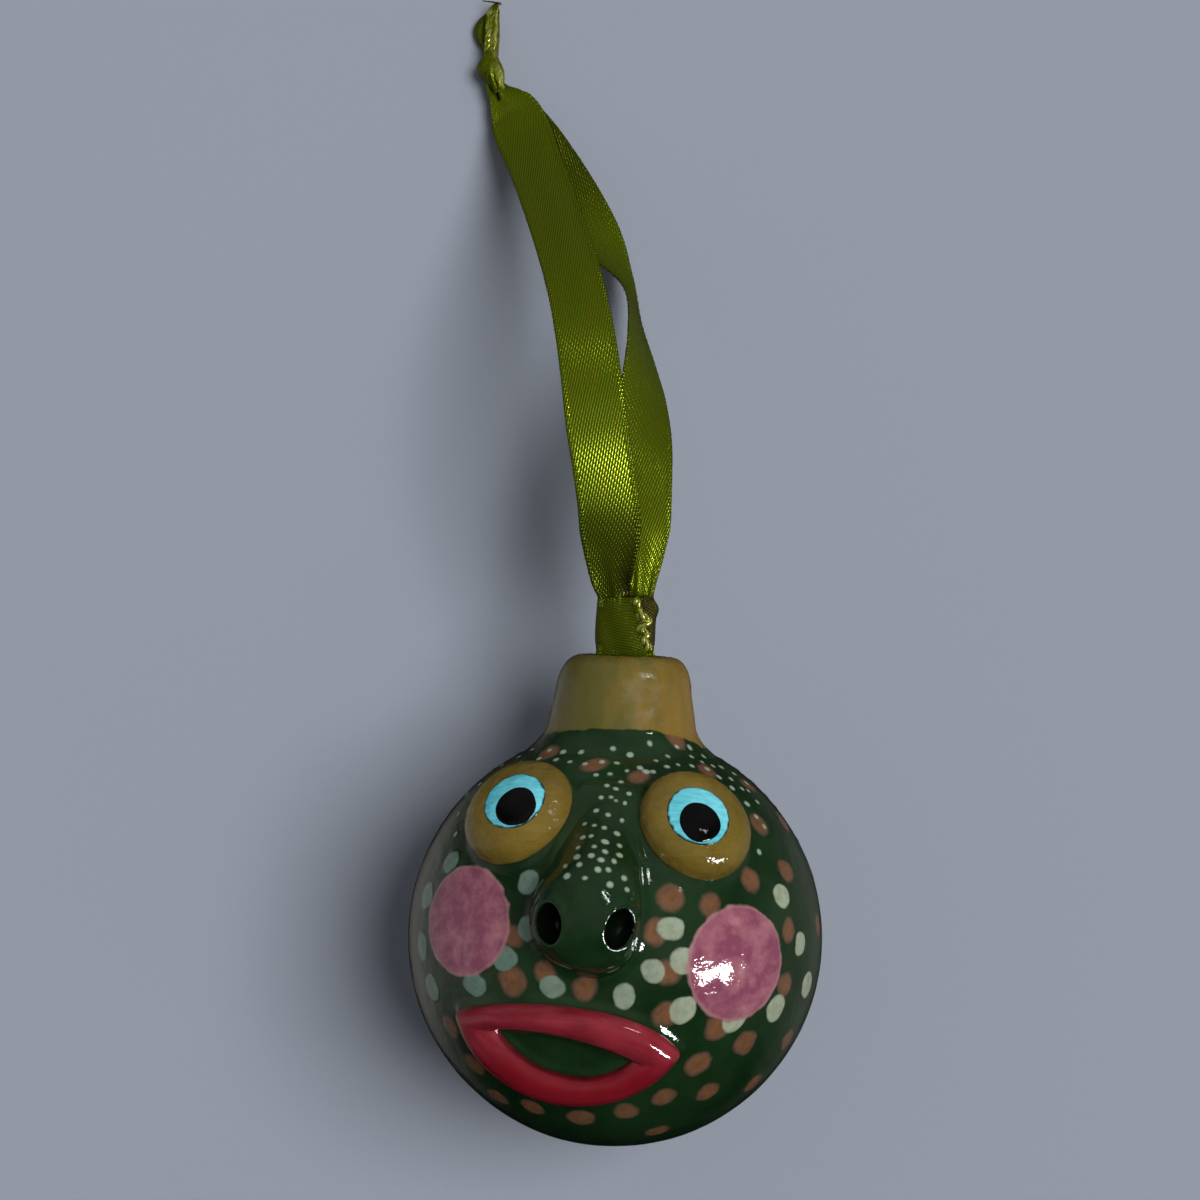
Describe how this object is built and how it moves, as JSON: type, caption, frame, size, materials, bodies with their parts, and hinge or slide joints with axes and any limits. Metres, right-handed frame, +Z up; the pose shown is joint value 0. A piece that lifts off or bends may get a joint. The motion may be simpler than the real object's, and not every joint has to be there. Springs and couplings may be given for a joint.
{
  "type": "clay face ornament",
  "caption": "Round hollow glazed clay ornament with a modelled face, a neck collar and a knotted satin ribbon hanger that swings on a wire pin.",
  "frame": {"origin": "middle of the small flat on the ball's back, on which the ornament lies", "axes": "+Z up, the way the face looks; +Y along the neck toward the ribbon; +X to the right in the picture"},
  "size_m": [0.068, 0.1936, 0.0732],
  "materials": {
    "green_glaze": "gloss",
    "ochre_glaze": "gloss",
    "turquoise_glaze": "gloss",
    "black_glaze": "gloss",
    "red_glaze": "gloss",
    "satin_ribbon": "satin",
    "wire": "oxidised"
  },
  "bodies": {
    "ornament": {"ball_front_half": "green_glaze", "ball_back_half": "green_glaze", "neck_collar": "ochre_glaze", "hanging_wire": "wire", "eye_mound_left": "ochre_glaze", "eye_mound_right": "ochre_glaze", "iris_left": "turquoise_glaze", "iris_right": "turquoise_glaze", "pupil_left": "black_glaze", "pupil_right": "black_glaze", "nose": "green_glaze", "upper_lip": "red_glaze", "lower_lip": "red_glaze"},
    "hanger": {"ribbon_hitch": "satin_ribbon", "ribbon_front_strand": "satin_ribbon", "ribbon_rear_strand": "satin_ribbon", "ribbon_knot": "satin_ribbon", "ribbon_tail_long": "satin_ribbon", "ribbon_tail_short": "satin_ribbon"}
  },
  "joints": [
    {"name": "hanger_swing", "type": "hinge", "parent": "ornament", "child": "hanger", "pos_m": [0, 0.0441, 0.0325], "axis": [1, 0, 0], "range_deg": [-40, 40]}
  ]
}
